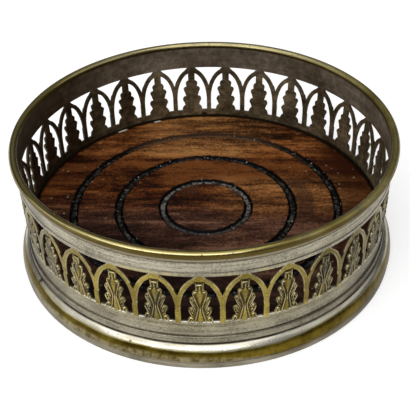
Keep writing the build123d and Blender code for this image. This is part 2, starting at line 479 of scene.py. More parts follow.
def edge_brass():
    """The cut edges of arches and leaves: bare brass outside, dark inside, darker towards the back, with
    painted shade at both sides.
    """
    g = Graph("edge_brass")
    grain = g.noise(1500, 2.0, 0.6)
    patch = g.step(g.noise(240, 4.0, 0.6), 0.36, 0.64)
    aside = g.zone(g.absolute(g.x), 12, 38)
    # Painted shade: darker cut edges towards both sides
    colour = g.mix(aside, g.mix(patch, *EDGE_FRONT), g.mix(patch, *EDGE_SIDE_SHADE))
    inside = g.step(g.attribute("relief"), 0.4, 0.8, 1.0, 0.0)
    dark = g.most(inside, g.zone(g.y, -25, 5, 0.0, 0.85))
    return g.surface(
        g.mix(dark, colour, DIRT_AND_SHADE),
        g.step(grain, 0.3, 0.7, 0.42, 0.62),
        g.step(dark, 0.3, 1.0, 0.35, 0.0),
        g.bump(grain, 0.06, 0.5),
        Specular_IOR_Level=g.step(dark, 0.3, 1.0, 0.5, 0.15),
    )


TARNISH_GREY = (
    (0.38, (0.085, 0.068, 0.048)), (0.5, (0.2, 0.163, 0.118)), (0.62, (0.36, 0.3, 0.23)),
)
WOOD_REFLECTION_BROWN = (
    (0.38, (0.03, 0.021, 0.01)), (0.5, (0.13, 0.1, 0.055)), (0.62, (0.32, 0.25, 0.145)),
)
INSIDE_LEFT_SHADE = (0.3, 0.26, 0.2)


def tarnished_inside():
    """The inside of the gallery, left unpolished: brown grey, browner in the arcade as a painted reflection
    of the wood, with painted shade at the left.
    """
    g = Graph("tarnished_inside")
    cloud = g.noise(60, 5.0, 0.6)
    streak = g.noise((45, 45, 800), 3.0, 0.6)
    blotch = g.noise(420, 4.0, 0.68)
    level = g.blend((cloud, 0.38), (streak, 0.2), (blotch, 0.42))
    # Browner in the arcade: a painted reflection of the wood
    lower = g.fade(g.z, ARCADE_TOP - 0.8, ARCADE_TOP + 0.6)
    colour = g.mix(lower, g.ramp(level, TARNISH_GREY), g.ramp(level, WOOD_REFLECTION_BROWN))
    # Painted shade at the left
    colour = g.tint(colour, (g.fade(g.x, -56, -26), INSIDE_LEFT_SHADE))
    blot = g.times(g.around(91.8, 1.4), g.line(g.z, WOOD_TOP + 0.7, 1.3))
    return g.surface(
        g.mix(g.most(g.line(g.z, WOOD_TOP, 0.8), blot), colour, DIRT_AND_SHADE),
        g.step(cloud, 0.3, 0.7, 0.38, 0.55),
        0.6,
        g.bump(g.add(cloud, streak, blotch), 0.1, 0.5),
    )


RIM_BRASS = ((0.3, (0.15, 0.108, 0.022)), (0.5, (0.31, 0.25, 0.08)), (0.7, (0.5, 0.425, 0.19)))
RIM_DULL_SHADE = (0.165, 0.131, 0.04)
RIM_HIGHLIGHT = (0.62, 0.55, 0.31)
RIM_BACK_HIGHLIGHT = (0.52, 0.485, 0.33)
RIM_LEFT_SHADE = (0.23, 0.185, 0.058)
RIM_BELOW = (0.078, 0.051, 0.008)
RIM_SPOT = (0.04, 0.03, 0.01)
SKIRT_PLATE = (0.29, 0.254, 0.168)
# Height of a painted highlight along the front of the bead, with painted shade over it and dull metal with
# painted shade under it
HIGHLIGHT_Z = BEAD_Z + 1.05


def rim_brass():
    """Bare brass bead with a painted highlight line at the front, painted shade over and under it and at the
    far left, a painted highlight at the back, over a skirt that keeps its plate.
    """
    g = Graph("rim_brass_worn")
    brush = scratches(g)
    patch = g.noise(70, 6.0, 0.6)
    spots = g.noise(900, 3.0, 0.6)
    front = g.fade(g.y, -45, -20)
    # Dull metal with painted shade on the bead's top at the front
    dull_shade = g.times(g.zone(g.z, HIGHLIGHT_Z, HIGHLIGHT_Z + 0.2), front, g.zone(g.x, 4, 28, 0.75, 0.225))
    # Painted highlight line along the front of the bead
    highlight_line = g.times(g.line(g.z, HIGHLIGHT_Z, 0.2), front, g.fade(g.x, 0, 26, 0.62))
    plate = g.step(g.noise(38, 5.0, 0.55), 0.6, 0.7)
    # Dull tarnish under the bead, darkened further as painted shade
    below = g.fade(g.z, BEAD_Z + 0.2, BEAD_Z + 1.0)
    colour = g.paint(
        g.ramp(g.blend((patch, 0.65), (brush, 0.35)), RIM_BRASS),
        (dull_shade, RIM_DULL_SHADE),
        (highlight_line, RIM_HIGHLIGHT),
        # Painted highlight: paler towards the back
        (g.zone(g.y, 25, 55, 0.0, 0.35), RIM_BACK_HIGHLIGHT),
        (g.times(plate, g.zone(g.x, -50, -25, 0.1, 0.7)), SILVER_DULL),
        # Painted shade at the far left
        (g.fade(g.x, -62, -40, 0.8), RIM_LEFT_SHADE),
        (g.times(below, g.step(patch, 0.3, 0.7, 1.0, 0.88)), RIM_BELOW),
        (g.fade(g.z, SKIRT_Z + 0.8, SKIRT_Z + 1.1, 0.85), SKIRT_PLATE),
        (g.fade(g.z, SKIRT_Z + 0.15, SKIRT_Z + 0.45, 0.75), DIRT_AND_SHADE),
        (g.step(spots, 0.6, 0.72, 0.0, 0.6), RIM_SPOT),
    )
    rough = g.add(0.09, g.blend((patch, 0.14), (below, 0.14)), g.zone(g.x, 12, 42, 0.0, 0.22))
    return g.surface(colour, rough, 1.0, g.bump(g.add(brush, spots), *SCRATCHED))


# Pairs of colours that each zone of the foot varies between
FOOT_CREST = ((0.42, 0.385, 0.28), (0.72, 0.69, 0.59))
FOOT_BRASS = ((0.072, 0.048, 0.004), (0.188, 0.134, 0.015))
FOOT_STAIN_AND_SHADE = ((0.085, 0.06, 0.015), (0.26, 0.22, 0.112))
FOOT_LIP = ((0.135, 0.118, 0.083), (0.32, 0.284, 0.212))
FOOT_WARM_HIGHLIGHT = (0.42, 0.365, 0.15)


def foot_metal():
    """Plate left on the crest of the round with a painted warm highlight under it, matt olive brass down its
    side, stained and painted darker above a grey lip, with painted shade towards both sides and a painted
    contact shadow at the bottom.
    """
    g = Graph("foot_metal")
    brush = scratches(g)
    patch = g.noise(80, 6.0, 0.62)
    spots = g.noise(650, 3.0, 0.6)

    # Heights that wander, for the edges of the plate above and of the brass below
    drift = g.swing(g.noise(45, 4.0, 0.5), 2.2 * MM)
    upper = g.add(
        g.z, drift, g.fade(g.x, -56, -44, -0.5 * MM), g.zone(g.x, 12, 28, 0.0, -0.4 * MM)
    )
    lower = g.add(g.z, g.times(drift, 1.5), g.zone(g.x, 2, 26, -1.4 * MM, 0.5 * MM))

    clouds = g.step(g.blend((brush, 0.5), (patch, 0.5)), 0.36, 0.62)
    brass = g.mix(g.step(g.blend((patch, 0.7), (spots, 0.3)), 0.36, 0.64), *FOOT_BRASS)
    streaks = g.blend((g.noise((420, 420, 130), 5.0, 0.65), 0.6), (spots, 0.4))
    streaks = g.add(streaks, g.fade(g.x, -50, 0, 0.06))
    crest = g.zone(upper, 6.25, 6.8)
    # Painted contact shadow along the bottom
    sole = g.fade(g.z, 0.12, 0.45, 0.55)
    crease = g.times(g.zone(g.z, FOOT_H - 0.3, FOOT_H - 0.05), g.step(patch, 0.34, 0.52, 0.5, 1.0))
    seam = g.times(g.around(-149.0, 1.1), g.zone(g.add(g.z, g.times(spots, 3 * MM)), 8.0, 9.0))
    # Painted shade towards both ends of the front
    ends = g.add(g.zone(g.x, 25, 60, 0.0, 0.5), g.fade(g.x, -62, -50, 0.42))
    ends = g.times(ends, g.zone(g.z, 3.2, 4.4, 1.0, 0.25))
    grime_and_shade = g.most(g.step(spots, 0.63, 0.72, 0.0, 0.6), crease, seam, sole, ends)
    colour = g.paint(
        g.mix(clouds, *FOOT_LIP),
        # Stains, painted darker as shade where the round faces the floor
        (g.zone(g.z, 2.5, 3.4), g.mix(g.step(streaks, 0.4, 0.62), *FOOT_STAIN_AND_SHADE)),
        (g.zone(lower, 2.8, 3.7), brass),
        # Painted highlight: a warm edge under the crest
        (g.zone(upper, 6.0, 6.5, 0.0, 0.8), FOOT_WARM_HIGHLIGHT),
        (crest, g.mix(clouds, *FOOT_CREST)),
        (grime_and_shade, DIRT_AND_SHADE),
    )
    rough = g.add(g.step(crest, 0.0, 1.0, 0.24, 0.16), g.blend((patch, 0.16), (grime_and_shade, 0.3)))
    metallic = g.step(grime_and_shade, 0.4, 1.0, 1.0, 0.3)
    return g.surface(colour, rough, metallic, g.bump(g.add(brush, spots), *SCRATCHED))


def plain_brass(name, tint):
    """Unpolished hidden brass."""
    g = Graph(name)
    patch = g.noise(120, 5.0, 0.6)
    dark = tuple(0.45 * c for c in tint)
    colour = g.mix(g.step(patch, 0.35, 0.65), dark, tint)
    return g.surface(colour, g.step(patch, 0.3, 0.7, 0.32, 0.55), 1.0, g.bump(scratches(g), 0.05, 0.4))


# Wood and felt

# Colours along the wood's tone in its three zones
WOOD_RED = (
    (0.431, (0.0075, 0.0017, 0.0006)), (0.47, (0.034, 0.0082, 0.0019)),
    (0.51, (0.105, 0.029, 0.006)), (0.56, (0.24, 0.078, 0.018)),
)
WOOD_TAN = (
    (0.429, (0.028, 0.0098, 0.003)), (0.468, (0.1, 0.038, 0.011)),
    (0.508, (0.212, 0.088, 0.026)), (0.558, (0.38, 0.175, 0.056)),
)
WOOD_PLUM = (
    (0.44, (0.01, 0.0038, 0.0022)), (0.48, (0.031, 0.0128, 0.0076)),
    (0.52, (0.06, 0.026, 0.016)), (0.57, (0.14, 0.071, 0.046)),
)
WOOD_STREAK = ((0.008, 0.002, 0.001), (0.065, 0.019, 0.0045))
WOOD_ASIDE = (0.026, 0.0055, 0.0014)
WOOD_SHADED = (0.008, 0.0032, 0.0026)
WOOD_PORE = (0.008, 0.003, 0.002)
WOOD_STAIN = (0.02, 0.009, 0.006)
WOOD_RIM_SHADE = (0.0024, 0.0016, 0.001)
DUST = (0.4, 0.33, 0.26)
PALE_SPECK = (0.36, 0.33, 0.28)
PALE_DASH = (0.52, 0.49, 0.43)
GROOVE_WALL = ((0.0014, 0.001, 0.0008), (0.04, 0.02, 0.01))
PITCH = ((0.0016, 0.0014, 0.0012), (0.045, 0.042, 0.036))
PITCH_DUSTY = (0.085, 0.045, 0.022)
PITCH_SHEEN = ((0.004, 0.0036, 0.0032), (0.135, 0.13, 0.118))
PITCH_FRONT = (0.006, 0.004, 0.003)


def dark_wood():
    """Oiled dark hardwood, grain along X, with blackened ring grooves."""
    g = Graph("dark_wood")
    r = g.radius()
    blotch = g.noise((26, 56, 56), 5.0, 0.65, 0.8)
    bands = g.noise((10, 130, 130), 5.0, 0.62, 0.6)
    figure = g.noise((70, 420, 420), 4.0, 0.6, 0.3)
    pores = g.noise((300, 1300, 1300), 2.0, 0.5)
    grains = g.noise(800, 2.0, 0.6)
    speckle = g.noise(1600, 1.0, 0.5)
    tone = g.blend((blotch, 0.26), (bands, 0.36), (figure, 0.2), (grains, 0.09), (speckle, 0.09))
    red, tan, plum = (g.ramp(tone, stops) for stops in (WOOD_RED, WOOD_TAN, WOOD_PLUM))

    # Zones: tan behind and at the right, plum in front, darker streaks between and darker aside. The paler
    # back and right and the darker front and sides are partly the wood's tone, partly painted light and
    # shade
    drift = g.swing(g.noise((14, 40, 40), 4.0, 0.55), 34 * MM)
    over = g.add(g.y, g.times(drift, 0.5))
    across = g.absolute(g.add(g.x, drift))
    behind = g.times(g.zone(over, 30, 38), g.zone(across, 12, 30, 1.0, 0.12))
    to_right = g.times(g.zone(g.add(g.x, drift), -4, 12), g.line(over, 6, 17))
    front = g.fade(g.add(g.y, g.times(drift, 0.6)), -8, 8)
    aside = g.times(g.zone(across, 38, 52), g.step(to_right, 0.0, 1.0, 1.0, 0.75))

    # Dust, a ring left by a bottle and one blot
    dust = g.times(g.dots(520, 0.24, 0.16), g.zone(across, 26, 46), 0.55)
    ring = g.times(g.line(g.add(r, g.times(drift, 0.05)), 35.5, 4.5), to_right)
    blot = g.times(g.line(g.add(g.x, g.times(drift, 0.2)), -6, 5), g.line(g.y, 9, 4))

    # Grooves: dark walls and a bed of old pitch, with a painted grey sheen in the inmost that fades towards
    # the front, dusty at the back
    ragged = g.swing(g.noise(420, 3.0, 0.6), 1.0 * MM)
    ragged_r = g.add(r, ragged)
    off = g.least(*(g.absolute(g.less(ragged_r, middle * MM)) for middle in GROOVES))
    black = g.fade(off, 1.3, 1.85)
    bed = g.fade(off, 0.45, 0.85)
    inmost = g.fade(r, 18, 24)
    dusty = g.zone(g.add(g.y, g.times(g.noise(60, 3.0, 0.6), 30 * MM)), 46, 62)
    pitch = g.mix(dusty, g.mix(g.step(grains, 0.46, 0.66), *PITCH), PITCH_DUSTY)
    # Painted grey sheen on the inmost bed, dark at the front
    worn = g.mix(g.step(grains, 0.42, 0.6), *PITCH_SHEEN)
    worn = g.mix(g.fade(g.y, -12, 4, 0.75), worn, PITCH_FRONT)
    # Pale specks in the dark walls
    pale_specks = g.times(g.dots(900, 0.3, 0.36), black, g.step(grains, 0.44, 0.62, 0.0, 0.7))

    # Two pale dashes at the edge
    dashes = g.most(g.around(110.0, 1.7), g.around(124.3, 2.4))
    dashes = g.times(dashes, g.line(g.add(r, g.times(ragged, 0.5)), WOOD_R - 0.85, 0.7))

    colour = g.paint(
        red,
        (g.times(g.line(over, 22, 13), 0.6), g.mix(g.step(tone, 0.47, 0.54), *WOOD_STREAK)),
        (g.most(behind, g.times(to_right, 0.6)), tan),
        (g.times(front, g.step(to_right, 0.0, 1.0, 0.9, 0.35)), plum),
        (g.times(aside, g.zone(g.x, -10, 10, 0.22, 0.95)), WOOD_ASIDE),
        (g.fade(g.y, -54, -28, 0.85), WOOD_SHADED),
        (g.step(pores, 0.56, 0.66, 0.0, 0.4), WOOD_PORE),
        (dust, DUST),
        (g.times(g.most(ring, blot), 0.65), WOOD_STAIN),
        (black, g.mix(g.times(dusty, 0.8), *GROOVE_WALL)),
        (bed, g.mix(inmost, pitch, worn)),
        (pale_specks, PALE_SPECK),
        # Painted shade in the gap along the wall
        (g.zone(ragged_r, WOOD_R - 1.8, WOOD_R - 0.6, 0.0, 0.95), WOOD_RIM_SHADE),
        (dashes, PALE_DASH),
    )
    rough = g.add(g.step(figure, 0.3, 0.7, 0.42, 0.58), g.times(black, -0.22))
    height = g.blend((pores, -0.6), (figure, 0.3), (g.times(bed, grains), 1.6))
    shine = g.times(bed, g.step(inmost, 0.0, 1.0, 0.08, 0.4))
    shine = g.add(g.step(black, 0.0, 1.0, 0.06, 0.03), shine)
    return g.surface(colour, rough, 0.0, g.bump(height, 0.18, 0.7), Specular_IOR_Level=shine)


BAIZE_GREEN = ((0.3, (0.008, 0.035, 0.016)), (0.55, (0.02, 0.08, 0.036)), (0.8, (0.05, 0.14, 0.07)))


def green_baize():
    """Wool felt: short matted fibres in every direction."""
    g = Graph("green_baize")
    fibre = g.noise(1800, 3.0, 0.7, 2.0)
    tuft = g.noise(220, 4.0, 0.6, 0.8)
    colour = g.ramp(g.blend((fibre, 0.6), (tuft, 0.4)), BAIZE_GREEN)
    normal = g.bump(g.add(fibre, tuft), 0.3, 0.7)
    return g.surface(colour, 0.95, 0.0, normal, Sheen_Weight=0.35, Sheen_Roughness=0.5)


# The gallery: one bay as a flat outline, given relief, then bent round the axis

HALF_BAY = math.pi * LOW_OUT / BAYS
HALF_W = HALF_BAY - POST_W / 2
SPRING_Z = SILL_Z + SPRING_H
LEAF_H = ARCADE_H - CROWN_T
RISE = LEAF_H - SPRING_H
SILL_MIDDLE_R = LOW_OUT - WALL_T / 2
SINK = 0.45  # how far a bay reaches into the bands above and below it
EDGE_STEP = 0.34  # distance of points along the outline
STROKE_STEP = 0.4  # along the raised lines of a leaf
RELIEF_STEP = 0.1  # along the same lines where their relief is worked out
ARCH_STEP = 0.4  # between points on the arches
RAIL_GAP = 0.07  # least distance of a stroke's points from the outline
GRID_GAP = 0.4  # the same for an arch's points, as a share of their step
WELD = 0.01  # points nearer than this are one
BACK_WELD = 1e-6  # the same on the plain inside
SAME = 1e-4
TINY = 1e-9
BAY_SEGMENTS = 8  # faces of the plain bands in one bay
STRIP_SOFT = 0.12
STRIP_WEAR = LISTEL_H - 0.3
ARCH_RISE = 0.3  # how far an arch stands proud
ARCH_ROUND = 0.55  # width of the rounding at its edge
LEAF_SINK = -0.12  # ground of a leaf, from the wall's face
CAP_GAP = 0.25  # top of an arch's opening to the top of a leaf
JOINT_UP = 0.05  # middle of the joint over a leaf, from the leaf's top
JOINT_HALF = 0.3
JOINT_MORE = 0.2  # how much further the joint goes than the leaf's neck
# Material slots of the strip
OUTSIDE, INSIDE, CUT = range(3)
# How clean the metal is, from 0 to 1; above 0.7 bare metal is rubbed bright, partly as a painted highlight.
# A stroke's crest and an arch's edge add to what is round them.
ARCH_CLEAN = 0.62
ARCH_EDGE_CLEAN = 0.36
BROAD_CLEAN = 0.22
THIN_CLEAN = 0.33
CREST_CLEAN = 0.45
FILL_CLEAN = 0.5
JOINT_CLEAN = 0.12
INSIDE_CLEAN = 0.15
BAND_CLEAN = 0.9
# How far the plate is worn off, from 0 to 1
LEAF_BRASSY = 0.68
ARCH_BRASSY = 0.95
INSIDE_BRASSY = 0.9
LISTEL_BRASSY = 0.42
LEDGE_BRASSY = 0.2
BAND_BRASSY = 0.12

# Raised lines of a leaf, right half: (x, height over the sill, half width, rise) along each
STROKES = {
    "cap": [
        (0, 15.5, 0.26, 0.48), (0.7, 15.5, 0.26, 0.5), (0.99, 15.2, 0.25, 0.5), (1.01, 14.4, 0.24, 0.48),
        (0.97, 13.6, 0.24, 0.46), (0.74, 13.2, 0.2, 0.4),
    ],
    "bud": [(0, 14.75, 0.22, 0.44), (0, 14.1, 0.32, 0.48), (0, 13.3, 0.24, 0.4)],
    "heart": [
        (0, 13, 0.26, 0.36), (0, 12.2, 0.76, 0.46), (0, 11.3, 1.12, 0.5), (0, 10.2, 0.92, 0.5),
        (0, 9, 0.6, 0.46), (0, 7.8, 0.28, 0.4), (0, 7.2, 0.12, 0.3),
    ],
    "shoulder": [
        (0.94, 12.5, 0.2, 0.42), (1.42, 12.46, 0.25, 0.52), (1.84, 12.14, 0.27, 0.56),
        (1.95, 11.55, 0.27, 0.56), (1.86, 10.85, 0.27, 0.54), (1.62, 9.9, 0.26, 0.52),
        (1.32, 8.85, 0.25, 0.5), (1.02, 7.8, 0.24, 0.5), (0.76, 6.9, 0.23, 0.5), (0.62, 6, 0.23, 0.5),
        (0.66, 5.1, 0.24, 0.5), (0.88, 3.9, 0.26, 0.52), (1.2, 2.2, 0.27, 0.52), (1.55, 0.6, 0.28, 0.52),
        (1.8, -0.45, 0.28, 0.52),
    ],
    "middle": [
        (2.02, 8.85, 0.2, 0.46), (2.02, 9.42, 0.22, 0.52), (2.42, 9.88, 0.25, 0.56), (2.86, 9.68, 0.27, 0.6),
        (2.95, 9.2, 0.27, 0.6), (2.76, 8.55, 0.27, 0.58), (2.42, 7.6, 0.26, 0.54), (2.02, 6.6, 0.26, 0.5),
        (1.6, 5.55, 0.23, 0.44), (1.34, 4.7, 0.18, 0.36),
    ],
    "middle_eye": [
        (2.48, 9.12, 0.16, 0.42), (2.2, 8.2, 0.17, 0.42), (1.74, 7.2, 0.18, 0.42), (1.24, 6.4, 0.16, 0.38),
    ],
    "low": [
        (2.02, 4.5, 0.21, 0.46), (2.04, 5.3, 0.22, 0.5), (2.46, 5.8, 0.25, 0.56), (3, 5.76, 0.27, 0.6),
        (3.31, 5.25, 0.28, 0.62), (3.24, 4.5, 0.28, 0.6), (3, 3.72, 0.28, 0.56), (2.66, 2.95, 0.27, 0.5),
        (2.2, 2.42, 0.24, 0.42), (1.78, 2.1, 0.18, 0.34),
    ],
    "eye": [(2.62, 5.04, 0.26, 0.54), (2.64, 4.86, 0.26, 0.54)],
    "low_tongue": [(2.38, 3.92, 0.2, 0.42), (2, 3.76, 0.21, 0.42), (1.8, 3.2, 0.18, 0.36)],
    "foot": [
        (2.1, 1.42, 0.2, 0.4), (2.62, 1.72, 0.24, 0.46), (3.14, 1.5, 0.27, 0.5), (3.48, 0.9, 0.28, 0.52),
        (3.65, 0.15, 0.28, 0.52), (3.68, -0.45, 0.28, 0.52),
    ],
    "foot_vein": [(2.5, 0.95, 0.18, 0.38), (2.84, 0.4, 0.2, 0.4), (2.94, -0.45, 0.2, 0.4)],
    "trunk": [
        (0, 6.9, 0.12, 0.32), (0, 5.8, 0.2, 0.44), (0, 4.5, 0.36, 0.46), (0, 3, 0.6, 0.48),
        (0, 1.5, 0.84, 0.48), (0, -0.45, 1.1, 0.48),
    ],
}
# Where lines of points run along a stroke: a share of its half width and a distance beyond it
STROKE_RAILS = ((0.0, 0.0), (0.75, 0.0), (1.0, 0.0), (1.0, 0.13), (1.0, 0.28))
# Width of the groove beside a stroke
GROOVE_REACH = 0.28
# Half width of a stroke that is rubbed bright on its crest
THIN_STROKE = 0.28
# Rise of the ground between the grooves
FILL_RISE = 0.14


def leaf_point(share):
    """A place on the bay from its shares of the opening's half width and the leaf's height."""
    return (share[0] * HALF_W, SILL_Z + share[1] * LEAF_H)


def even(points, step):
    """The same open line with points about one step apart, its corners kept."""
    out = [points[0]]
    for a, b in zip(points, points[1:]):
        count = max(1, round(math.dist(a, b) / step))
        out += [tuple(np.array(a) + (np.array(b) - a) * i / count) for i in range(1, count + 1)]
    return out


def leaf_side():
    """The right edge of the leaf, from under its foot up to its neck."""
    foot = leaf_point(LEAF_FOOT)
    line = [(foot[0], SILL_Z - SINK), foot]
    for belly, tip, notch in LEAF_LOBES:
        line += arc(leaf_point(belly), leaf_point(tip), leaf_point(notch), 8)
    return line


def right_side():
    """The right half of the bay's edge, from the leaf's foot round to the crown's top."""
    leaf = leaf_side()
    low = SILL_Z - SINK
    inside = ellipse((0, SPRING_Z), HALF_W, RISE, math.acos(leaf[-1][0] / HALF_W), 0, 40)
    post = [(HALF_W, low), (HALF_BAY, low)]
    outer = (HALF_W + ARCH_W, RISE + ARCH_CROWN)
    turns = [math.acos(x / outer[0]) for x in (HALF_BAY, CROWN_SPREAD)]
    outside = ellipse((0, SPRING_Z), *outer, *turns, 30)
    crown = [(CROWN_HALF, ARCADE_TOP), (CROWN_HALF, ARCADE_TOP + SINK)]
    return even(leaf + inside + post + outside + crown, EDGE_STEP)


def smooth_line(points, step):
    """A Catmull-Rom line through the points, all their values carried along."""
    p = np.array(points, dtype=float)
    p = np.vstack([2 * p[0] - p[1], p, 2 * p[-1] - p[-2]])
    out = []
    for a, b, c, d in zip(p, p[1:], p[2:], p[3:]):
        steps = max(1, round(math.dist(b[:2], c[:2]) / step))
        t = (np.arange(steps) / steps)[:, None]
        out.append(0.5 * (2 * b + (c - a) * t + (2 * a - 5 * b + 4 * c - d) * t ** 2
                          + (3 * b - a - 3 * c + d) * t ** 3))
    return np.vstack(out + [p[-2:-1]])


def to_line(points, line):
    """Distance of points from a line, and the line's other values where they are nearest."""
    a, b = line[:-1, :2], line[1:, :2]
    ab = b - a
    rel = points[:, None, :] - a[None]
    t = np.clip((rel * ab).sum(-1) / np.maximum((ab ** 2).sum(-1), TINY), 0, 1)
    gap = np.linalg.norm(rel - t[..., None] * ab, axis=-1)
    best = gap.argmin(1)
    rows = np.arange(len(points))
    t = t[rows, best][:, None]
    return gap[rows, best], line[best, 2:] * (1 - t) + line[best + 1, 2:] * t


def in_polygon(points, polygon):
    """Which points are inside a closed polygon."""
    poly = np.array(polygon)
    nxt = np.roll(poly, -1, 0)
    x, y = points[:, :1], points[:, 1:]
    rises = (poly[:, 1] > y) != (nxt[:, 1] > y)
    drop = np.where(nxt[:, 1] == poly[:, 1], TINY, nxt[:, 1] - poly[:, 1])
    cross = poly[:, 0] + (y - poly[:, 1]) * (nxt[:, 0] - poly[:, 0]) / drop
    return (rises & (x < cross)).sum(1) % 2 == 1


def hexagonal(width, low, high, step):
    """Points of a triangular grid, symmetric about x = 0."""
    rows = []
    for i, z in enumerate(np.arange(low, high, step * math.sqrt(0.75))):
        x = np.arange(step * (0.5 if i % 2 else 1.0), width, step)
        x = np.concatenate([-x, x] if i % 2 else [-x, [0.0], x])
        rows.append(np.stack([x, np.full(len(x), z)], -1))
    return np.vstack(rows)


def stroke_rails():
    """Lines of points along every stroke and its mirror image, at the rails' shares of its width."""
    for stroke in STROKES.values():
        line = smooth_line(stroke, STROKE_STEP)
        along = np.gradient(line[:, :2], axis=0)
        across = np.stack([-along[:, 1], along[:, 0]], -1)
        across /= np.linalg.norm(across, axis=1)[:, None]
        for share, beyond in STROKE_RAILS:
            off = across * (line[:, 2:3] * share + beyond)
            for rail in ([line[:, :2] + off, line[:, :2] - off] if share else [line[:, :2]]):
                for side in (1, -1):
                    yield (rail + np.array([0, SILL_Z])) * np.array([side, 1])


def bay():
    """One bay laid flat: points, front triangles, edge loop, which are leaf, and gaps to the edge."""
    right = right_side()
    outline = [(-x, z) for x, z in reversed(right)] + right
    top = SILL_Z + LEAF_H - CAP_GAP
    side = leaf_side()
    half_leaf = side + [(side[-1][0], top), (0.0, top)]
    leaf_shape = half_leaf + [(-x, z) for x, z in reversed(half_leaf)]
    ring = np.array(outline + outline[:1])
    count = len(outline)
    points, edges = [np.array(outline)], [(i, (i + 1) % count) for i in range(count)]
    for rail in stroke_rails():
        keep = in_polygon(rail, outline)
        keep[keep] = to_line(rail[keep], ring)[0] > RAIL_GAP
        index = count + np.cumsum(keep) - 1
        edges += [(index[i], index[i + 1]) for i in range(len(rail) - 1) if keep[i] and keep[i + 1]]
        points.append(rail[keep])
        count += keep.sum()
    grid = hexagonal(HALF_BAY, SILL_Z - SINK, ARCADE_TOP + SINK, ARCH_STEP)
    grid = grid[in_polygon(grid, outline) & ~in_polygon(grid, leaf_shape)]
    points.append(grid[to_line(grid, ring)[0] > GRID_GAP * ARCH_STEP])
    flat = [Vector(p) for p in np.vstack(points)]
    edges = [(int(i), int(j)) for i, j in edges]
    found, _, triangles, came_from, _, _ = delaunay_2d_cdt(flat, edges, [], 0, WELD)
    found = np.array([tuple(p) for p in found])
    triangles = np.array(triangles)
    triangles = triangles[in_polygon(found[triangles].mean(1), outline)]
    now = {old: new for new, olds in enumerate(came_from) for old in olds}
    loop = np.array([now[i] for i in range(len(outline))])
    leaf = in_polygon(found, leaf_shape)
    leaf[loop] = False
    return found, triangles, loop, leaf, to_line(found, ring)[0]


def relief_of(points, edge_gap, leaf):
    """Rise over the wall's face, and how clean the metal is there."""
    rounding = np.clip(1 - edge_gap / ARCH_ROUND, 0, 1)
    rise = ARCH_RISE * (1 - rounding ** 2)
    clean = ARCH_CLEAN + ARCH_EDGE_CLEAN * rounding
    at = np.stack([np.abs(points[leaf, 0]), points[leaf, 1] - SILL_Z], -1)
    dome, tone = np.zeros(len(at)), np.zeros(len(at))
    beyond = np.full(len(at), GROOVE_REACH)
    for stroke in STROKES.values():
        gap, carried = to_line(at, smooth_line(stroke, RELIEF_STEP))
        wide, high = carried.T
        share = np.sqrt(np.clip(1 - (gap / wide) ** 2, 0, 1))
        dome = np.maximum(dome, high * share)
        thin = np.minimum(1, THIN_STROKE / wide)
        bright = BROAD_CLEAN + THIN_CLEAN * thin + CREST_CLEAN * share * thin
        tone = np.maximum(tone, np.where(gap < wide * 1.001, bright, 0))
        beyond = np.minimum(beyond, np.maximum(gap - wide, 0))
    fill = np.clip(2 * beyond / GROOVE_REACH - 1, 0, 1)
    rise[leaf] = np.maximum(dome, FILL_RISE * fill) + LEAF_SINK
    clean[leaf] = np.maximum(tone, FILL_CLEAN * fill)
    neck = LEAF_LOBES[-1][-1][0] * HALF_W + JOINT_MORE
    over_cap = points - np.array([0, SILL_Z + LEAF_H - CAP_GAP + JOINT_UP])
    joint = (np.abs(over_cap[:, 0]) < neck) & (np.abs(over_cap[:, 1]) < JOINT_HALF)
    rise[joint], clean[joint] = LEAF_SINK, JOINT_CLEAN
    return rise, clean


def wall_radius(z):
    """Outside radius of the gallery wall at a height."""
    return LOW_OUT + FLARE * np.clip((z - SILL_Z) / ARCADE_H, 0, 1)


def upper_band():
    """Profile of the plain band over the arcade, with its raised strip."""
    strip_top = ARCADE_TOP + LISTEL_H
    proud = UP_OUT + LISTEL_PROUD
    return soften([
        (MOUTH_R, ARCADE_TOP), (proud, ARCADE_TOP), (proud, strip_top - LISTEL_PROUD),
        (UP_OUT, strip_top), (UP_OUT, GALLERY_TOP), (MOUTH_R, GALLERY_TOP),
    ], STRIP_SOFT, (1, 2, 3))


def lower_band():
    """Profile of the plain band under the arcade, with its raised strip."""
    strip_low = SILL_Z - LEDGE_H
    proud = LOW_OUT + LEDGE_PROUD
    return soften([
        (LOW_IN, GALLERY_LOW), (LOW_OUT, GALLERY_LOW), (LOW_OUT, strip_low),
        (proud, strip_low + LEDGE_PROUD), (proud, SILL_Z), (SILL_MIDDLE_R, SILL_Z), (LOW_IN, SILL_Z),
    ], STRIP_SOFT, (2, 3, 4))


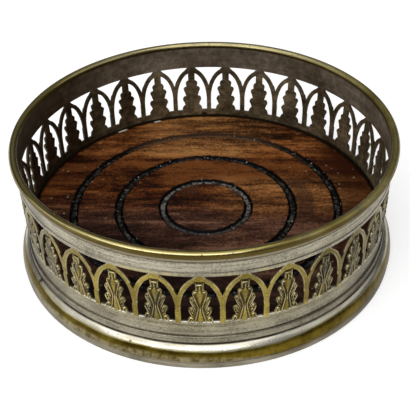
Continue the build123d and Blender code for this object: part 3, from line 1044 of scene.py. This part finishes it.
def build_gallery(outside, inside, cut):
    """Arches and leaves of all bays, with the plain bands above and below them."""
    flat, front, loop, leaf, gap = bay()
    side_gap = HALF_BAY - np.abs(flat[:, 0])
    on_side = np.abs(side_gap) < SAME
    gap = np.where(np.abs(flat[:, 0]) > HALF_W, np.maximum(gap, side_gap), gap)
    gap[on_side] = HALF_BAY - HALF_W
    rise, clean = relief_of(flat, gap, leaf)
    n, m = len(flat), len(loop)
    edge = flat[loop]
    steps = [(i, (i + 1) % m) for i in range(m)]
    back = np.array(delaunay_2d_cdt([Vector(p) for p in edge], steps, [], 0, BACK_WELD)[2])
    back = back[in_polygon(edge[back].mean(1), edge)]
    steps = [(i, j) for i, j in steps if not (on_side[loop[i]] and on_side[loop[j]])]
    worn = np.where(leaf, LEAF_BRASSY, ARCH_BRASSY)
    outer_r, inner_r = wall_radius(flat[:, 1]) + rise, wall_radius(edge[:, 1]) - WALL_T
    points, faces, slots, relief, brassy = [], [], [], [], []
    for k in range(BAYS):
        turn = -math.pi / 2 + flat[:, 0] / LOW_OUT + k * 2 * math.pi / BAYS
        base = k * (n + m)
        points += [bent(outer_r, turn, flat[:, 1]), bent(inner_r, turn[loop], edge[:, 1])]
        relief += [clean, np.full(m, INSIDE_CLEAN)]
        brassy += [worn, np.full(m, INSIDE_BRASSY)]
        faces += (front + base).tolist() + (back[:, ::-1] + base + n).tolist()
        faces += [(base + loop[j], base + loop[i], base + n + i, base + n + j) for i, j in steps]
        slots += [OUTSIDE] * len(front) + [INSIDE] * len(back) + [CUT] * len(steps)

    start = BAYS * (n + m)
    for profile, arcade_z, inside_r, strip_brassy in (
        (upper_band(), ARCADE_TOP, MOUTH_R, LISTEL_BRASSY),
        (lower_band(), SILL_Z, SILL_MIDDLE_R, LEDGE_BRASSY),
    ):
        ring, ring_faces = lathe(profile, BAYS * BAY_SEGMENTS)
        hidden = [r <= inside_r for r, _ in profile]
        points.append(ring)
        faces += [tuple(start + i for i in f) for f in ring_faces]
        slots += [INSIDE if all(hidden[i % len(profile)] for i in f) else OUTSIDE for f in ring_faces]
        relief.append(np.full(len(ring), BAND_CLEAN))
        on_strip = np.abs(ring[:, 2] - arcade_z) < STRIP_WEAR
        brassy.append(np.where(on_strip, strip_brassy, BAND_BRASSY))
        start += len(ring)
    made = make_object(
        "gallery_strip", np.vstack(points), faces, [outside, inside, cut], SHARP_CUT,
        {"relief": np.concatenate(relief), "brassy": np.concatenate(brassy)}, slots,
    )
    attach(made, BODY)
    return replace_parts(made, "gallery")


# Mouldings, wood and felt, each turned from a closed profile

RING_SEGMENTS = 240
WOOD_SEGMENTS = 192
BAIZE_SEGMENTS = 160
SKIRT_SOFT = 0.12
LIP_SOFT = 0.18
BAND_SOFT = 0.1
GROOVE_SOFT = 0.12
BAIZE_SOFT = 0.3
# A turned disc keeps a pinhole on its axis
PINHOLE_R = 0.02
# The rim is a little out of level, by waves of (count, size, phase)
RIM_WAVES = ((2, 0.05, 0.7), (5, 0.03, 2.0))
BAND_LOOK = {"relief": 0.85, "brassy": 0.25}
HIDDEN_BRASS = {"base_flange": (0.42, 0.34, 0.15), "flange_screws": (0.55, 0.45, 0.22)}


def rim_profile():
    skirt_r = UP_OUT + SKIRT_T
    drop = math.sqrt(BEAD_R ** 2 - (BEAD_C - skirt_r) ** 2)
    crest = (BEAD_C, RIM_TOP)
    bend = (BEAD_C - MOUTH_R) * math.sqrt(0.5)
    rise = (RIM_TOP - GALLERY_TOP) * math.sqrt(0.5)
    inner = arc((MOUTH_R, GALLERY_TOP), (BEAD_C - bend, GALLERY_TOP + rise), crest, 12)
    outer = arc(crest, (BEAD_OUT, BEAD_Z), (skirt_r, BEAD_Z - drop), 20)
    skirt = [
        (skirt_r, SKIRT_Z + SKIRT_SOFT), (skirt_r - SKIRT_SOFT, SKIRT_Z),
        (UP_OUT, SKIRT_Z), (UP_OUT, GALLERY_TOP),
    ]
    return inner + outer[1:] + skirt


def foot_profile():
    mid_z = LIP_H + QUIRK_H
    middle_r = FOOT_R - ROUND_A
    outer_turn = math.acos((BAND_OUT - middle_r) / ROUND_A)
    inner_turn = math.acos((LOW_OUT - middle_r) / (ROUND_A - FOOT_T))
    half_h = (FOOT_H - mid_z) / math.sin(outer_turn)
    outside = ellipse((middle_r, mid_z), ROUND_A, half_h, outer_turn, 0, 20)
    inside = ellipse((middle_r, mid_z), ROUND_A - FOOT_T, half_h - FOOT_T, 0, inner_turn, 8)
    lip = soften([
        outside[-1], (LIP_R - QUIRK_D, LIP_H + QUIRK_H / 2), (LIP_R, LIP_H), (LIP_R, 0),
        (LIP_IN, 0), (LIP_IN, LIP_H), inside[0],
    ], LIP_SOFT, (2, 3))
    return outside[:-1] + lip + inside[1:] + [(LOW_OUT, FOOT_H)]


def band_profile():
    return soften([
        (LOW_OUT, FOOT_H), (BAND_OUT, FOOT_H), (BAND_OUT, BAND_TOP - BAND_EDGE),
        (BAND_OUT - BAND_EDGE, BAND_TOP), (LOW_OUT, BAND_TOP),
    ], BAND_SOFT, (1, 2, 3))


def wood_profile():
    top = []
    for middle in reversed(GROOVES):
        far = (middle + GROOVE_W / 2, WOOD_TOP)
        near = (middle - GROOVE_W / 2, WOOD_TOP)
        hollow = arc(far, (middle, WOOD_TOP - GROOVE_D), near, 10)
        top += [(far[0] + GROOVE_SOFT, WOOD_TOP), *hollow[1:-1], (near[0] - GROOVE_SOFT, WOOD_TOP)]
    edge = [(WOOD_R, WOOD_LOW), (WOOD_R, WOOD_TOP - WOOD_EDGE), (WOOD_R - WOOD_EDGE, WOOD_TOP)]
    return [(PINHOLE_R, WOOD_LOW), *edge, *top, (PINHOLE_R, WOOD_TOP)]


def baize_profile():
    return soften([
        (PINHOLE_R, 0.0), (BAIZE_R, 0.0), (BAIZE_R, BAIZE_TOP), (PINHOLE_R, BAIZE_TOP),
    ], BAIZE_SOFT, (1, 2))


def turned(name, profile, segments, material, node, lift=(), look=None):
    """A piece turned from a profile, which stands for a node, with the same look values all over."""
    points, faces = lathe(profile, segments, lift)
    values = {key: np.full(len(points), value) for key, value in (look or {}).items()}
    made = make_object(name, points, faces, [material], SHARP_TURNED, values)
    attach(made, BODY)
    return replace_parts(made, node)


plate = worn_plate()
build_gallery(plate, tarnished_inside(), edge_brass())
turned("rim_bead", rim_profile(), RING_SEGMENTS, rim_brass(), "rim_moulding", lift=RIM_WAVES)
turned("foot_ring", foot_profile(), RING_SEGMENTS, foot_metal(), "foot_moulding")
turned("band_strip", band_profile(), RING_SEGMENTS, plate, "base_band", look=BAND_LOOK)
turned("wood_disc", wood_profile(), WOOD_SEGMENTS, dark_wood(), "wood_base")
baize = turned(
    "baize_felt", baize_profile(), BAIZE_SEGMENTS, green_baize(), "baize_pad"
)
for node, tint in HIDDEN_BRASS.items():
    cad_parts[node].data.materials.clear()
    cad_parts[node].data.materials.append(plain_brass(node + "_brass", tint))


# Stage, light and camera

FLOOR_R = 900.0
COVE_R = 700.0
COVE_STEPS = 15
FLOOR_SEGMENTS = 96
FLOOR_PALE = ((0.66, 0.66, 0.66), (0.69, 0.69, 0.69))
FLOOR_FAR = (0.26, 0.26, 0.265)
FLOOR_GLOW = 0.54
WHITE = (1.0, 1.0, 1.0)
SKY_STRENGTH = 0.32
# Area lamps, in metres and watts: place, aim, size and power
LAMPS = {
    "softbox": ((-0.26, -0.33, 0.86), (-0.2, 0, 0.02), (1.36, 0.95), 5.7),
    "front_strip": ((-0.22, -0.8, 0.68), (-0.15, 0, 0.03), (1.15, 0.15), 2.4),
    "front_card": ((-0.3, -0.88, 0.46), (0, 0, 0.03), (1.0, 0.34), 0.6),
    "left_card": ((-0.8, -0.2, 0.3), (0, 0, 0.03), (0.9, 0.6), 1.1),
    "right_card": ((0.8, -0.1, 0.66), (0, 0, 0.03), (0.9, 0.6), 0.8),
}


def pale_floor():
    """Matt pale floor, lifted to white where it is seen or mirrored, and grey far off."""
    g = Graph("pale_floor")
    far = g.zone(g.radius(), 550, 1050)
    pale = g.mix(g.noise(40, 3.0, 0.5), *FLOOR_PALE)
    diffuse = g.node("BsdfDiffuse", Color=g.mix(far, pale, FLOOR_FAR))
    path = g.node("LightPath").outputs
    seen = g.most(path["Is Camera Ray"], path["Is Glossy Ray"], path["Is Transmission Ray"])
    glow = g.times(seen, FLOOR_GLOW, g.less(1.0, far))
    lift = g.node("Emission", Color=WHITE, Strength=glow)
    both = g.node("AddShader")
    g.tree.links.new(diffuse.outputs[0], both.inputs[0])
    g.tree.links.new(lift.outputs[0], both.inputs[1])
    g.node("OutputMaterial", Surface=both.outputs[0])
    return g.material


def studio_floor():
    """A round floor that curves up to a wall all round."""
    profile = [(0.5, 0.0), (FLOOR_R, 0.0)]
    profile += [(FLOOR_R + COVE_R * math.sin(t), COVE_R * (1 - math.cos(t)))
                for t in np.linspace(0, math.pi / 2, COVE_STEPS + 1)[1:]]
    points, faces = lathe(profile, FLOOR_SEGMENTS, closed=False)
    make_object("studio_floor", points, faces, [pale_floor()], SHARP_TURNED)


def studio_light():
    """A large soft lamp above, a narrow strip and three cards, and a dim sky."""
    for name, (where, aim, size, power) in LAMPS.items():
        light = bpy.data.lights.new(name, "AREA")
        light.shape = "RECTANGLE"
        light.size, light.size_y = size
        light.energy = power
        lamp = bpy.data.objects.new(name, light)
        lamp.location = where
        lamp.rotation_euler = (Vector(aim) - Vector(where)).to_track_quat("-Z", "Y").to_euler()
        scene.collection.objects.link(lamp)
    world = bpy.data.worlds.new("dim_sky")
    scene.world = world
    world.use_nodes = True
    sky = world.node_tree.nodes["Background"]
    sky.inputs["Color"].default_value = (*WHITE, 1.0)
    sky.inputs["Strength"].default_value = SKY_STRENGTH


def photo_camera():
    """The camera at the photograph's place: its turn, elevation, roll and lens."""
    data = bpy.data.cameras.new("photo_camera")
    data.sensor_width = SENSOR_MM
    data.lens = FOCAL_PX / IMAGE_PX * SENSOR_MM
    data.clip_start = 0.01
    camera = bpy.data.objects.new("photo_camera", data)
    camera.matrix_world = (
        Matrix.Rotation(CAMERA_TURN, 4, "Z")
        @ Matrix.Translation(Vector(CAMERA_AIM) * MM)
        @ Matrix.Rotation(math.pi / 2 - CAMERA_ELEVATION, 4, "X")
        @ Matrix.Translation((0, 0, CAMERA_DISTANCE * MM))
        @ Matrix.Rotation(CAMERA_ROLL, 4, "Z")
    )
    scene.collection.objects.link(camera)
    bpy.context.scene.camera = camera


studio_floor()
studio_light()
photo_camera()
bpy.context.scene.view_settings.view_transform = "Standard"
